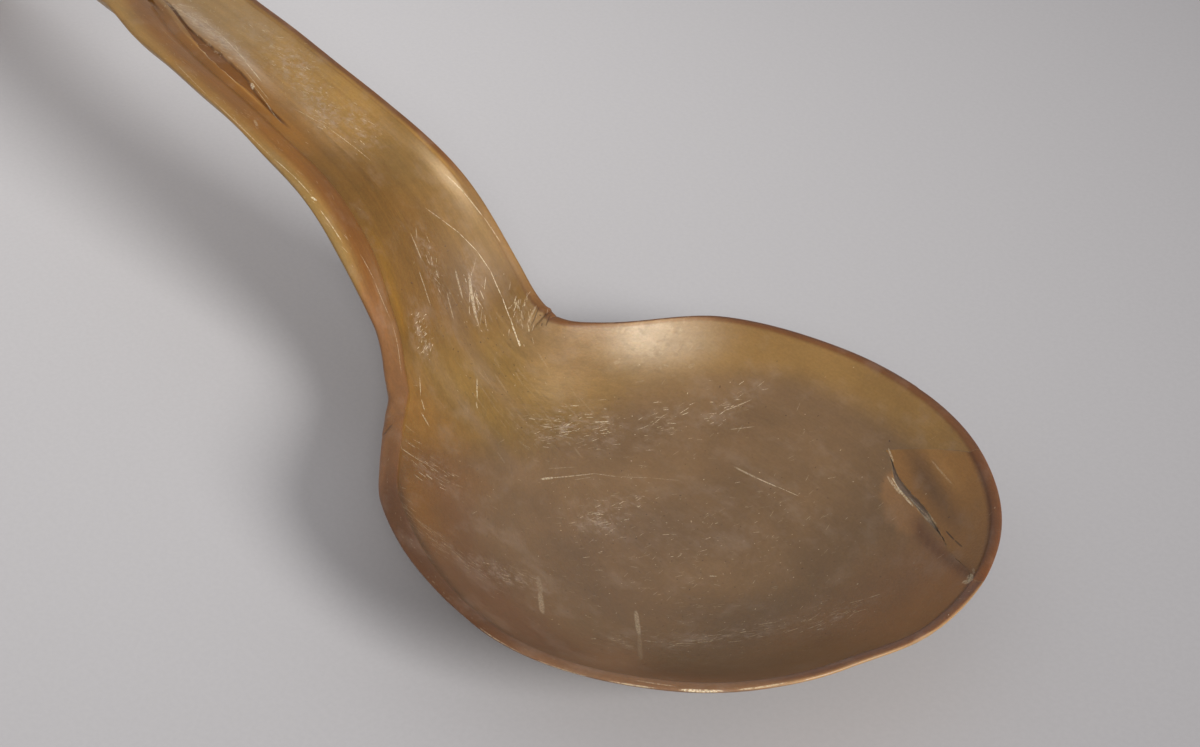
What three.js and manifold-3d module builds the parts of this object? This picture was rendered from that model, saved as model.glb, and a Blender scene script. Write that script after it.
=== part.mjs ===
// A horn spoon: a shallow round bowl and an arched handle, carved in one from a single horn,
// with a thin layer of the horn that has split off and sits in a seat of its own at the lip.
// Millimetres. +X runs to the lip, +Y to the side whose edge is thin, +Z up.
import * as THREE from 'three';
import * as BufferGeometryUtils from 'three/addons/utils/BufferGeometryUtils.js';
import Module from 'manifold-3d';

const wasm = await Module();
wasm.setup();

// The bowl, seen from above: two half ovals that share their widest line.
const bowlWidth = 112;
const lipReach = 55.5;
const neckReach = 71.5;
const ovalPower = 2.07;
const rimHeight = 23;
const floorThickness = 3;

// The handle, by distance from the bowl's centre along the line midway between its edges.
const handleEnd = 352;
const tipRounding = 10;
const neckBlend = 4;
const slopeAt = curveThrough([
  [0, 0], [25, 0], [40, -5], [55, -10], [70, 9], [85, 42], [105, 34], [130, 10],
  [160, 3.5], [185, -2], [215, -3], [250, -8], [280, -16], [310, -31], [340, -50], [352, -53],
]);
const handleHalfWidthAt = curveThrough([
  [40, 28], [55, 25.5], [70, 21], [85, 18], [105, 17.3], [130, 16], [160, 15.1],
  [190, 15], [215, 13.4], [250, 11.9], [300, 10], [352, 6.5],
]);
const swayAt = curveThrough([
  [0, 0], [45, 0], [60, -1.6], [70, -2.2], [85, -0.2], [105, -0.5], [135, -1.9], [160, -1.7],
  [185, -0.4], [215, 2.4], [260, 4.5], [352, 5.5],
]);

// Small differences between the two edges: how far each lies inside the shared half width.
const nearTrimAt = curveThrough([[38, 0], [52, 1.2], [60, 0], [67, -1.2], [80, 0]]);
const farTrimAt = curveThrough([
  [0, -1.3], [12, -1.2], [36, 0], [46, 0.1], [60, 2.2], [72, 0.2], [85, -0.4], [100, -0.5], [122, 0],
]);
const farSwellStart = 55;

// Sections: how far the face and the underside lie below the line between the edges.
const hollowAt = curveThrough([
  [0, rimHeight - floorThickness], [22, 19.8], [40, 17], [55, 12.5], [68, 7.8], [85, 4.2],
  [110, 2.7], [170, 2.3], [270, 1.3], [352, 0.8],
]);
const bellyAt = curveThrough([
  [0, rimHeight + 0.35], [18, rimHeight + 0.3], [40, 20.8], [55, 16.6], [68, 12.4], [85, 9],
  [110, 7.2], [215, 6.8], [300, 6.6], [352, 5.4],
]);
const nearBulgeAt = curveThrough([[55, 0], [85, 2], [120, 3.2], [235, 3], [310, 0]]);
const hollowPowerAt = curveThrough([[20, 2.3], [68, 2.4], [95, 2.2]]);
const bellyPower = 2.45;

// The near edge is a thick round wall, broad along the handle, where its inner side leans down
// towards the face; the far edge and the lip are thin.
const nearWallAt = curveThrough([
  [0, 3], [25, 4], [60, 4.9], [82, 5], [103, 7.8], [120, 7.9], [150, 7.1], [172, 7.1],
  [200, 9], [215, 9.6], [245, 8.2], [300, 4.6], [352, 2.6],
]);
const nearLeanAt = curveThrough([[55, 0], [95, 1.6], [240, 1.6], [300, 0]]);
const farWallAt = curveThrough([[0, 2.4], [90, 2], [352, 1.8]]);
const wallStepAt = curveThrough([[0, 0.7], [50, 0.9], [70, 2], [95, 2.8], [240, 2.6], [300, 0.6]]);
const rimDrop = 0.5;
const rimCrest = 0.2;
const rimLean = 0.2;
const rimFullness = 0.45;
const fullestWall = 5.3;
const crestShiftPerLean = 0.22;
const rimTurn = 14;
const mostWallShare = 0.75;
const farBellyGain = 0.2;
const nearBellyGain = 1.5;
const bellyGainPlaces = [50, 95];

// The slit between the near wall and the face is what is left of the horn's own hollow.
const slitWidthAt = curveThrough([
  [120, 0.9], [140, 1], [152, 1.6], [160, 2.9], [168, 3.6], [178, 3], [190, 1.6], [202, 0.9], [250, 0.9],
]);
const slitDepthAt = curveThrough([[118, 0], [138, 1.4], [160, 1.8], [225, 1.6], [262, 0]]);
const thinSlitWidth = 0.9;
const mostSlitShare = 0.24;
const slitShares = [0.2, 0.75];

// Towards the tip, where the half width falls below this, every hollow and swelling fades out.
const fadingReach = 7;
const tipBellyShare = 0.35;
const tipApexShare = 0.3;
const tipApexHeight = 0.6;

// The split layer at the lip: corners by angle round the bowl and by share of the way out.
const layerInnerAngles = [85.2, 25];
const layerOuterAngles = [66.5, 25];
const layerInnerShareAt = curveThrough([[0, 0.78], [0.2, 0.75], [0.45, 0.775], [0.75, 0.83], [1, 0.94]]);
const layerThickness = 0.85;
const layerGap = 0.3;
const layerRows = 16;
const faceColumns = 5;
const rimColumns = 2;
const pastRimShare = 1.05;
const gradeStep = 0.5;
const blockTop = rimHeight + 6;

const lipRibs = 44;
const neckStep = 4.2;
const neckEnd = 97;
const handleStep = 5;
const tipSteps = 4;
const lastTipTurn = 86;
const faceShares = [0, 0.2, 0.4, 0.55, 0.68, 0.79, 0.88, 0.95, 1];
const undersideShares = [0, 0.14, 0.28, 0.42, 0.56, 0.7, 0.82, 0.92, 1];
const rimPoints = 5;

const hornColour = 0x8b6b42;
const layerColour = 0x82592f;

// A smooth curve through [place, value] pairs that never overshoots them.
function curveThrough(pairs) {
  const gaps = pairs.slice(1).map((pair, i) => pair[0] - pairs[i][0]);
  const grades = gaps.map((gap, i) => (pairs[i + 1][1] - pairs[i][1]) / gap);
  const tangents = pairs.map((pair, i) => {
    const before = grades[i - 1];
    const after = grades[i];
    if (before === undefined || after === undefined || before * after <= 0) return 0;
    return 2 * before * after / (before + after);
  });
  return (place) => {
    const last = pairs.length - 1;
    if (place <= pairs[0][0]) return pairs[0][1];
    if (place >= pairs[last][0]) return pairs[last][1];
    const i = pairs.findIndex((pair) => pair[0] > place) - 1;
    const u = (place - pairs[i][0]) / gaps[i];
    const rise = u * u * (3 - 2 * u);
    const leave = gaps[i] * tangents[i] * u * (1 - u) * (1 - u);
    const arrive = gaps[i] * tangents[i + 1] * u * u * (1 - u);
    return pairs[i][1] + (pairs[i + 1][1] - pairs[i][1]) * rise + leave - arrive;
  };
}

// The line midway between the two edges, one point for each millimetre of its length.
function traceMidline() {
  const line = [new THREE.Vector2(0, rimHeight)];
  for (let place = 0; place < handleEnd; place += 1) {
    const slope = THREE.MathUtils.degToRad(slopeAt(place + 0.5));
    const last = line[line.length - 1];
    line.push(new THREE.Vector2(last.x - Math.cos(slope), last.y + Math.sin(slope)));
  }
  return line;
}

const midline = traceMidline();

function midlinePoint(place) {
  const i = Math.min(Math.floor(place), midline.length - 2);
  return midline[i].clone().lerp(midline[i + 1], place - i);
}

// Half the width at a place: the bowl's oval runs into the handle's edge through a small fillet.
function halfWidthAt(place, side) {
  const inOval = Math.max(0, 1 - (place / neckReach) ** ovalPower);
  const oval = bowlWidth / 2 * inOval ** (1 / ovalPower);
  const handle = handleHalfWidthAt(place);
  const trim = side > 0 ? farTrimAt(place) : nearTrimAt(place);
  const joined = (oval + handle + Math.hypot(oval - handle, neckBlend)) / 2 - trim;
  const pastRounding = Math.max(0, (place - handleEnd + tipRounding) / tipRounding);
  return joined * Math.sqrt(Math.max(0, 1 - pastRounding ** 2));
}

// A rib runs from the middle line out to one edge. Its side is -1 near, 1 far, between at the lip.
function handleRib(place, side) {
  const slope = THREE.MathUtils.degToRad(slopeAt(place));
  const point = midlinePoint(place);
  return {
    place,
    side,
    reach: halfWidthAt(place, side),
    origin: new THREE.Vector3(point.x, swayAt(place), point.y),
    outward: new THREE.Vector3(0, side, 0),
    upward: new THREE.Vector3(Math.sin(slope), 0, Math.cos(slope)),
  };
}

function lipRib(angle) {
  const radians = THREE.MathUtils.degToRad(angle);
  const spread = Math.abs(Math.cos(radians)) ** ovalPower + Math.abs(Math.sin(radians)) ** ovalPower;
  const fullness = spread ** (-1 / ovalPower);
  const swell = -farTrimAt(0) * THREE.MathUtils.smoothstep(angle, farSwellStart, 90);
  const sideways = (bowlWidth / 2 + swell) * fullness * Math.sin(radians);
  const edge = new THREE.Vector3(lipReach * fullness * Math.cos(radians), sideways, 0);
  return {
    place: 0,
    side: Math.sin(radians),
    reach: edge.length(),
    origin: new THREE.Vector3(0, 0, rimHeight),
    outward: edge.normalize(),
    upward: new THREE.Vector3(0, 0, 1),
  };
}

function sectionOf(rib) {
  const nearShare = (1 - rib.side) / 2;
  const blend = (near, far) => far + (near - far) * nearShare;
  const squeeze = Math.min(1, rib.reach / fadingReach);
  const fullWall = blend(nearWallAt(rib.place), farWallAt(rib.place));
  const bellyGain = blend(nearBellyGain, farBellyGain);
  const slitWidth = blend(slitWidthAt(rib.place), thinSlitWidth);
  return {
    wall: Math.min(fullWall, rib.reach * mostWallShare),
    lean: blend(nearLeanAt(rib.place), 0) * squeeze,
    slitWidth: Math.min(slitWidth, rib.reach * mostSlitShare),
    slitDepth: blend(slitDepthAt(rib.place), 0) * squeeze,
    step: blend(wallStepAt(rib.place), 0) * squeeze,
    hollow: hollowAt(rib.place) * squeeze,
    hollowPower: hollowPowerAt(rib.place),
    belly: bellyAt(rib.place) * THREE.MathUtils.lerp(tipBellyShare, 1, squeeze),
    bellyRoundness: 1 + bellyGain * THREE.MathUtils.smoothstep(rib.place, ...bellyGainPlaces),
    bulge: blend(nearBulgeAt(rib.place), 0) * squeeze,
  };
}

// Height of the hollow's face below the edges, at a distance out along a rib.
function faceHeight(section, rib, distance) {
  const faceEdge = rib.reach - section.wall;
  const edgeHeight = -rimDrop - section.step;
  const share = Math.min(distance / faceEdge, 1);
  return -section.hollow + (section.hollow + edgeHeight) * share ** section.hollowPower;
}

function undersidePoint(section, rib, turn) {
  const out = Math.cos(turn) ** (2 / bellyPower);
  const drop = Math.sin(turn) ** (2 / section.bellyRoundness);
  const swell = section.bulge * Math.sin(Math.PI * Math.min(1, out)) ** 2;
  return new THREE.Vector2(rib.reach * out, -section.belly * drop - swell);
}

// The rounded rim, from the top of the hollow over to the outer side.
function rimCurve(section, rib, outerPoint) {
  const inner = new THREE.Vector2(rib.reach - section.wall, -rimDrop - section.lean);
  const crestShare = rimLean + crestShiftPerLean * section.lean;
  const overhang = Math.min(section.wall, fullestWall) * rimFullness;
  return new THREE.CubicBezierCurve(
    inner,
    new THREE.Vector2(inner.x + section.wall * crestShare, rimCrest),
    new THREE.Vector2(rib.reach + overhang, rimCrest),
    outerPoint,
  );
}

// One half of a section in [distance out, height] pairs, from the face's middle over the rim
// and back along the underside.
function ribProfile(rib) {
  const section = sectionOf(rib);
  const slitEdge = rib.reach - section.wall - section.slitWidth;
  const face = faceShares.map((share) => {
    const distance = share * slitEdge;
    return new THREE.Vector2(distance, faceHeight(section, rib, distance));
  });
  const start = face[face.length - 1];
  const slit = slitShares.map((share) => {
    const level = THREE.MathUtils.lerp(start.y, -rimDrop - section.step, share);
    return new THREE.Vector2(slitEdge + share * section.slitWidth, level - section.slitDepth);
  });
  const firstTurn = THREE.MathUtils.degToRad(rimTurn);
  const underside = undersideShares.map((share) => {
    return undersidePoint(section, rib, firstTurn + share * (Math.PI / 2 - firstTurn));
  });
  underside[underside.length - 1].x = 0;
  const rim = rimCurve(section, rib, underside[0]).getPoints(rimPoints);
  return [...face, ...slit, ...rim, ...underside.slice(1)];
}

function placeOnRib(rib, point) {
  const placed = rib.origin.clone();
  placed.addScaledVector(rib.outward, point.x);
  placed.addScaledVector(rib.upward, point.y);
  placed.z = Math.max(placed.z, 0);
  return placed;
}

function handlePlaces() {
  const places = [];
  for (let place = neckStep; place < neckEnd; place += neckStep) places.push(place);
  for (let place = neckEnd; place < handleEnd - tipRounding; place += handleStep) places.push(place);
  for (let i = 0; i < tipSteps; i += 1) {
    const turn = (i / tipSteps) * THREE.MathUtils.degToRad(lastTipTurn);
    places.push(handleEnd - tipRounding + tipRounding * Math.sin(turn));
  }
  return places;
}

// Every rib in one chain: up the near side from the tip, round the lip, and back up the far side.
function allRibs() {
  const places = handlePlaces();
  const nearRibs = [...places].reverse().map((place) => handleRib(place, -1));
  const farRibs = places.map((place) => handleRib(place, 1));
  const lip = [];
  for (let i = 0; i <= lipRibs; i += 1) lip.push(lipRib(-90 + 180 * i / lipRibs));
  return [...nearRibs, ...lip, ...farRibs];
}

function buildSolid(positions, triangles) {
  let geometry = new THREE.BufferGeometry();
  geometry.setAttribute('position', new THREE.Float32BufferAttribute(positions, 3));
  geometry.setIndex(triangles);
  geometry = BufferGeometryUtils.mergeVertices(geometry, 1e-3);
  const index = geometry.index.array;
  const kept = [];
  for (let i = 0; i < index.length; i += 3) {
    const [a, b, c] = [index[i], index[i + 1], index[i + 2]];
    if (a !== b && b !== c && c !== a) kept.push(a, b, c);
  }
  return new wasm.Manifold(new wasm.Mesh({
    numProp: 3,
    vertProperties: new Float32Array(geometry.attributes.position.array),
    triVerts: new Uint32Array(kept),
  }));
}

function spoonSolid() {
  const rings = allRibs().map((rib) => ribProfile(rib).map((point) => placeOnRib(rib, point)));
  const count = rings[0].length;
  const positions = rings.flat().flatMap((point) => point.toArray());
  const triangles = [];
  for (let r = 0; r < rings.length - 1; r += 1) {
    for (let q = 0; q < count - 1; q += 1) {
      const a = r * count + q;
      const b = a + count;
      triangles.push(a, b + 1, b, a, a + 1, b + 1);
    }
  }
  closeTip(positions, triangles, rings.length, count);
  return buildSolid(positions, triangles);
}

// The blunt end: a fan from the last section of the handle to a point just beyond it.
function closeTip(positions, triangles, ringCount, count) {
  const end = handleRib(handleEnd, 1);
  const apex = end.origin.clone().addScaledVector(end.upward, -bellyAt(handleEnd) * tipApexShare);
  const apexIndex = positions.length / 3;
  positions.push(apex.x, apex.y, Math.max(apex.z, tipApexHeight));
  const far = (ringCount - 1) * count;
  for (let q = 0; q < count - 1; q += 1) {
    triangles.push(q + 1, q, apexIndex);
    triangles.push(far + q, far + q + 1, apexIndex);
  }
}

// The split layer seen from above: rows run along it, columns from its inner edge past the rim.
function layerPlan() {
  const rows = [];
  for (let i = 0; i <= layerRows; i += 1) {
    const along = i / layerRows;
    const row = [];
    for (let j = 0; j <= faceColumns + rimColumns; j += 1) {
      const across = Math.min(1, j / faceColumns);
      const innerAngle = THREE.MathUtils.lerp(...layerInnerAngles, along);
      const outerAngle = THREE.MathUtils.lerp(...layerOuterAngles, along);
      const rib = lipRib(THREE.MathUtils.lerp(innerAngle, outerAngle, across));
      const start = rib.reach * layerInnerShareAt(along);
      const faceEdge = rib.reach - sectionOf(rib).wall;
      const pastRim = (j - faceColumns) / rimColumns * (rib.reach * pastRimShare - faceEdge);
      const distance = j <= faceColumns ? THREE.MathUtils.lerp(start, faceEdge, across) : faceEdge + pastRim;
      row.push(new THREE.Vector2(rib.outward.x * distance, rib.outward.y * distance));
    }
    rows.push(row);
  }
  return rows;
}

// The same plan with its two ends and its inner edge moved out by the gap, mitred at the corners.
function grownPlan(growth) {
  const plan = layerPlan();
  const last = plan.length - 1;
  const square = (from, to) => new THREE.Vector2(to.y - from.y, from.x - to.x).normalize();
  const ends = new Map([
    [0, square(plan[0][faceColumns], plan[0][0])],
    [last, square(plan[last][0], plan[last][faceColumns])],
  ]);
  return plan.map((row, i) => row.map((point, j) => {
    const inner = square(plan[Math.max(i - 1, 0)][0], plan[Math.min(i + 1, last)][0]);
    const sides = [ends.get(i), j === 0 ? inner : undefined].filter(Boolean);
    if (sides.length === 0) return point;
    const sum = sides.reduce((total, side) => total.add(side), new THREE.Vector2());
    const mitre = sides.length === 2 ? 1 + sides[0].dot(sides[1]) : 1;
    return point.clone().addScaledVector(sum, growth / mitre);
  }));
}

// Height of the bowl's face, lowered square to itself, under a point of the plan.
function seatHeight(point, depth) {
  const angle = Math.atan2(point.y / (bowlWidth / 2), point.x / lipReach);
  const rib = lipRib(THREE.MathUtils.radToDeg(angle));
  const section = sectionOf(rib);
  const onFace = Math.min(point.length(), rib.reach - section.wall);
  const height = faceHeight(section, rib, onFace);
  const grade = (height - faceHeight(section, rib, onFace - gradeStep)) / gradeStep;
  return rimHeight + height - depth * Math.hypot(1, grade);
}

// A block over the split layer. Its underside follows the bowl's face at the layer's depth
// and runs out level below the rim. Growing it by the gap gives the seat.
function layerBlock(growth) {
  const plan = grownPlan(growth);
  const rows = plan.length - 1;
  const columns = plan[0].length - 1;
  const positions = plan.flat().flatMap((point) => {
    const seat = seatHeight(point, layerThickness + growth);
    return [point.x, point.y, seat, point.x, point.y, blockTop];
  });
  const triangles = [];
  const index = (i, j, k) => (i * (columns + 1) + j) * 2 + k;
  const quad = (a, b, c, d) => triangles.push(a, c, b, a, d, c);
  for (let i = 0; i < rows; i += 1) {
    for (let j = 0; j < columns; j += 1) {
      quad(index(i, j, 1), index(i, j + 1, 1), index(i + 1, j + 1, 1), index(i + 1, j, 1));
      quad(index(i, j, 0), index(i + 1, j, 0), index(i + 1, j + 1, 0), index(i, j + 1, 0));
    }
    quad(index(i, 0, 0), index(i, 0, 1), index(i + 1, 0, 1), index(i + 1, 0, 0));
    quad(index(i, columns, 0), index(i + 1, columns, 0), index(i + 1, columns, 1), index(i, columns, 1));
  }
  for (let j = 0; j < columns; j += 1) {
    quad(index(0, j, 0), index(0, j + 1, 0), index(0, j + 1, 1), index(0, j, 1));
    quad(index(rows, j, 0), index(rows, j, 1), index(rows, j + 1, 1), index(rows, j + 1, 0));
  }
  return buildSolid(positions, triangles);
}

function geometryOf(solid) {
  const mesh = solid.getMesh();
  const geometry = new THREE.BufferGeometry();
  geometry.setAttribute('position', new THREE.Float32BufferAttribute(mesh.vertProperties, 3));
  geometry.setIndex([...mesh.triVerts]);
  return geometry;
}

function namedPiece(name, solid, colour) {
  const material = new THREE.MeshStandardMaterial({ color: colour, roughness: 0.42, metalness: 0 });
  const piece = new THREE.Mesh(geometryOf(solid), material);
  piece.name = name;
  return piece;
}

const carving = spoonSolid();
const spoonBody = namedPiece('spoon_body', carving.subtract(layerBlock(layerGap)), hornColour);
const lipLayer = namedPiece('lip_layer', carving.intersect(layerBlock(0)), layerColour);

const spoon = new THREE.Group();
spoon.add(spoonBody, lipLayer);

// The origin is under the middle of the spoon, on the surface that it stands on.
const extent = new THREE.Box3().setFromObject(spoon);
const centre = extent.getCenter(new THREE.Vector3());
spoon.position.set(-centre.x, -centre.y, -extent.min.z);
spoon.updateMatrixWorld(true);

export default spoon;
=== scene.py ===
import math

import bpy
import numpy as np
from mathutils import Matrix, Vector, noise


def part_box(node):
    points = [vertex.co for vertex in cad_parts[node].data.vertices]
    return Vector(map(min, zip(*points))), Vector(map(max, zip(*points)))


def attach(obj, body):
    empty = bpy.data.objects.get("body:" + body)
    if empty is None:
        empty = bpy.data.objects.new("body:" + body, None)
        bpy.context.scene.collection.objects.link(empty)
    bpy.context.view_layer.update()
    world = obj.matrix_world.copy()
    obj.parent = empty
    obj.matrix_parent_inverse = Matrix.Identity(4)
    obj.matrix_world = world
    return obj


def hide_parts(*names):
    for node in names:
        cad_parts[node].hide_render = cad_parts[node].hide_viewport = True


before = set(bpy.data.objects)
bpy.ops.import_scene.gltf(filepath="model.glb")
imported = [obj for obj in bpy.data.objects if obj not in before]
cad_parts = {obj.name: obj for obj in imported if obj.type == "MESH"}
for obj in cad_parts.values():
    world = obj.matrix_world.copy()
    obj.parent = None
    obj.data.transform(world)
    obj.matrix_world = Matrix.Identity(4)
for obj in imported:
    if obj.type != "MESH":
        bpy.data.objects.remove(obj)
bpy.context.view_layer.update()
mm = 0.001
print("frame loaded")


# Shape of the horn, in millimetres from under the bowl's centre

spoonShape = {
    "bowlWidth": 112, "lipReach": 55.5, "neckReach": 71.5, "ovalPower": 2.07,
    "rimHeight": 23, "handleEnd": 352, "tipRounding": 10, "neckBlend": 4, "farSwellStart": 55,
    "rimDrop": 0.5, "rimCrest": 0.2, "rimLean": 0.2, "rimFullness": 0.45, "rimTurn": 14,
    "fullestWall": 5.3, "crestShiftPerLean": 0.22,
    "mostWallShare": 0.75, "bellyPower": 2.45, "farBellyGain": 0.2, "nearBellyGain": 1.5,
    "bellyGainPlaces": (50, 95), "thinSlitWidth": 0.9, "mostSlitShare": 0.24, "slitSkew": 0.8,
    "fadingReach": 7, "tipBellyShare": 0.35, "lipTuck": 1.8, "tuckAngles": (-88, -46, -12, 8),
    "tipDrop": 1.62, "tipLowest": 0.6,
}

shapeCurves = {  # [distance from the bowl's centre, value]
    "slope": [(0, 0), (25, 0), (40, -5), (55, -10), (70, 9), (85, 42), (105, 34), (130, 10),
              (160, 3.5), (185, -2), (215, -3), (250, -8), (280, -16), (310, -31), (340, -50), (352, -53)],
    "handleHalfWidth": [(40, 28), (55, 25.5), (70, 21), (85, 18), (105, 17.3), (130, 16), (160, 15.1),
                        (190, 15), (215, 13.4), (250, 11.9), (300, 10), (352, 6.5)],
    "sway": [(0, 0), (45, 0), (60, -1.6), (70, -2.2), (85, -0.2), (105, -0.5), (135, -1.9), (160, -1.7),
             (185, -0.4), (215, 2.4), (260, 4.5), (352, 5.5)],
    "nearTrim": [(36, 0), (47, 1.1), (54, 1.7), (60, 0.9), (67, -1.3), (80, 0)],
    "farTrim": [(0, -1.3), (12, -1.2), (36, 0), (46, 0.1), (60, 2.2), (72, 0.2), (85, -0.4),
                (100, -0.5), (122, 0)],
    "hollow": [(0, 20), (22, 19.8), (40, 17), (55, 12.5), (68, 7.8), (85, 4.2), (110, 2.7),
               (170, 2.3), (270, 1.3), (352, 0.8)],
    "belly": [(0, 23.35), (18, 23.3), (40, 20.8), (55, 16.6), (68, 12.4), (85, 9), (110, 7.2),
              (215, 6.8), (300, 6.6), (352, 5.4)],
    "nearBulge": [(55, 0), (85, 2), (120, 3.2), (235, 3), (310, 0)],
    "hollowPower": [(20, 2.3), (68, 2.4), (95, 2.2)],
    "nearWall": [(0, 3), (25, 4), (60, 4.9), (82, 5), (103, 7.8), (120, 7.9), (150, 7.1), (172, 7.1),
                 (200, 9), (215, 9.6), (245, 8.2), (300, 4.6), (352, 2.6)],
    "nearLean": [(55, 0), (95, 1.6), (240, 1.6), (300, 0)],
    "farWall": [(0, 2.4), (90, 2), (352, 1.8)],
    "wallStep": [(0, 0.7), (50, 0.9), (70, 1.8), (95, 2.2), (128, 2.2), (240, 2.2), (300, 0.6)],
    "slitWidth": [(50, 0.9), (74, 2), (88, 2.8), (120, 2.8), (136, 1.6), (202, 1.4), (250, 0.9)],
    "slitDepth": [(118, 0), (200, 0), (225, 1.6), (262, 0)],
}


def curveThrough(pairs):  # smooth, and never past its own points
    xs, ys = np.array(pairs, float).T
    gaps = np.diff(xs)
    grades = np.diff(ys) / gaps
    product = grades[:-1] * grades[1:]
    total = grades[:-1] + grades[1:]
    tangents = np.zeros(len(xs))
    tangents[1:-1] = np.where(product > 0, 2 * product / np.where(total == 0, 1, total), 0)

    def valueAt(place):
        place = np.clip(np.asarray(place, float), xs[0], xs[-1])
        i = np.clip(np.searchsorted(xs, place, "right") - 1, 0, len(xs) - 2)
        u = (place - xs[i]) / gaps[i]
        value = ys[i] + (ys[i + 1] - ys[i]) * u * u * (3 - 2 * u)
        return value + gaps[i] * u * (1 - u) * (tangents[i] * (1 - u) - tangents[i + 1] * u)
    return valueAt


curveAt = {name: curveThrough(pairs) for name, pairs in shapeCurves.items()}


def ramp(value, low, high):  # rises smoothly from 0 at low to 1 at high
    u = np.clip((np.asarray(value, float) - low) / (high - low), 0, 1)
    return u * u * (3 - 2 * u)


def between(value, start, full, fading, end):  # rises like a ramp and falls again
    return ramp(value, start, full) * (1 - ramp(value, fading, end))


def hump(value, middle, width):  # 1 in the middle, fading to both sides
    return np.exp(-((value - middle) / width) ** 2)


def traceMidline():  # midway between the edges, a point every millimetre
    slopes = np.radians(curveAt["slope"](np.arange(spoonShape["handleEnd"]) + 0.5))
    x = -np.concatenate([[0], np.cumsum(np.cos(slopes))])
    z = spoonShape["rimHeight"] + np.concatenate([[0], np.cumsum(np.sin(slopes))])
    return x, z


midlineX, midlineZ = traceMidline()


def halfWidthAt(place, side):
    shape = spoonShape
    inOval = np.maximum(0, 1 - (place / shape["neckReach"]) ** shape["ovalPower"])
    oval = shape["bowlWidth"] / 2 * inOval ** (1 / shape["ovalPower"])
    handle = curveAt["handleHalfWidth"](place)
    trim = np.where(side > 0, curveAt["farTrim"](place), curveAt["nearTrim"](place))
    joined = (oval + handle + np.hypot(oval - handle, shape["neckBlend"])) / 2 - trim
    pastRounding = np.maximum(0, (place - shape["handleEnd"] + shape["tipRounding"]) / shape["tipRounding"])
    return joined * np.sqrt(np.maximum(0, 1 - pastRounding ** 2))


def handleRibs(places, side):  # from the midline out to an edge: -1 near, 1 far
    slope = np.radians(curveAt["slope"](places))
    steps = np.arange(len(midlineX))
    zero = np.zeros_like(places)
    x = np.interp(places, steps, midlineX)
    z = np.interp(places, steps, midlineZ)
    return {
        "place": places, "side": zero + side, "reach": halfWidthAt(places, side),
        "origin": np.stack([x, curveAt["sway"](places), z], 1),
        "outward": np.stack([zero, zero + side, zero], 1),
        "upward": np.stack([np.sin(slope), zero, np.cos(slope)], 1),
    }


def lipRibs(angles):  # round the lip, from -90 near to 90 far
    shape = spoonShape
    turn = np.radians(angles)
    power = shape["ovalPower"]
    fullness = (np.abs(np.cos(turn)) ** power + np.abs(np.sin(turn)) ** power) ** (-1 / power)
    swell = -curveAt["farTrim"](0) * ramp(angles, shape["farSwellStart"], 90)
    forward = shape["lipReach"] * fullness * np.cos(turn)
    sideways = (shape["bowlWidth"] / 2 + swell) * fullness * np.sin(turn)
    zero = np.zeros_like(turn)
    full = np.hypot(forward, sideways)
    return {
        "place": zero, "side": np.sin(turn),
        "reach": full - shape["lipTuck"] * between(angles, *shape["tuckAngles"]),
        "origin": np.stack([zero, zero, zero + shape["rimHeight"]], 1),
        "outward": np.stack([forward / full, sideways / full, zero], 1),
        "upward": np.stack([zero, zero, zero + 1], 1),
    }


def sectionOf(rib):
    shape = spoonShape
    at = {name: curve(rib["place"]) for name, curve in curveAt.items()}
    near = (1 - rib["side"]) / 2
    squeeze = np.minimum(1, rib["reach"] / shape["fadingReach"])
    gain = shape["farBellyGain"] + (shape["nearBellyGain"] - shape["farBellyGain"]) * near
    wall = at["farWall"] + (at["nearWall"] - at["farWall"]) * near
    slitWidth = shape["thinSlitWidth"] + (at["slitWidth"] - shape["thinSlitWidth"]) * near
    return {
        "wall": np.minimum(wall, rib["reach"] * shape["mostWallShare"]),
        "lean": at["nearLean"] * near * squeeze,
        "slitWidth": np.minimum(slitWidth, rib["reach"] * shape["mostSlitShare"]),
        "slitDepth": at["slitDepth"] * near * squeeze,
        "step": at["wallStep"] * near * squeeze,
        "hollow": at["hollow"] * squeeze,
        "hollowPower": at["hollowPower"],
        "belly": at["belly"] * (shape["tipBellyShare"] + (1 - shape["tipBellyShare"]) * squeeze),
        "bellyRoundness": 1 + gain * ramp(rib["place"], *shape["bellyGainPlaces"]),
        "bulge": at["nearBulge"] * near * squeeze,
    }


def faceHeight(section, reach, distance):  # of the hollow's face, below the edges
    share = np.minimum(distance / (reach - section["wall"]), 1)
    edge = -spoonShape["rimDrop"] - section["step"]
    return -section["hollow"] + (section["hollow"] + edge) * share ** section["hollowPower"]


# The skin of the horn, one fine grid of ribs from the tip round the lip and back

skinGrid = {
    "lipStep": 1.0, "neckStep": 0.9, "notchStep": 0.35, "handleStep": 1.5, "tipSteps": 14, "lastTurn": 87,
    "notch": (54, 78), "neckEnd": 110, "faceSpacing": 1.25, "undersideSpacing": 1.15,
    "facePoints": 46, "slitPoints": 6, "rimPoints": 11, "undersidePoints": 36, "sharpAngle": 52,
}


def ribPlaces():
    grid, shape = skinGrid, spoonShape
    roundingStart = shape["handleEnd"] - shape["tipRounding"]
    turns = np.linspace(0, math.radians(grid["lastTurn"]), grid["tipSteps"])
    return np.concatenate([
        np.arange(grid["neckStep"], grid["notch"][0], grid["neckStep"]),
        np.arange(*grid["notch"], grid["notchStep"]),
        np.arange(grid["notch"][1], grid["neckEnd"], grid["neckStep"]),
        np.arange(grid["neckEnd"], roundingStart, grid["handleStep"]),
        roundingStart + shape["tipRounding"] * np.sin(turns),
    ])


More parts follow.
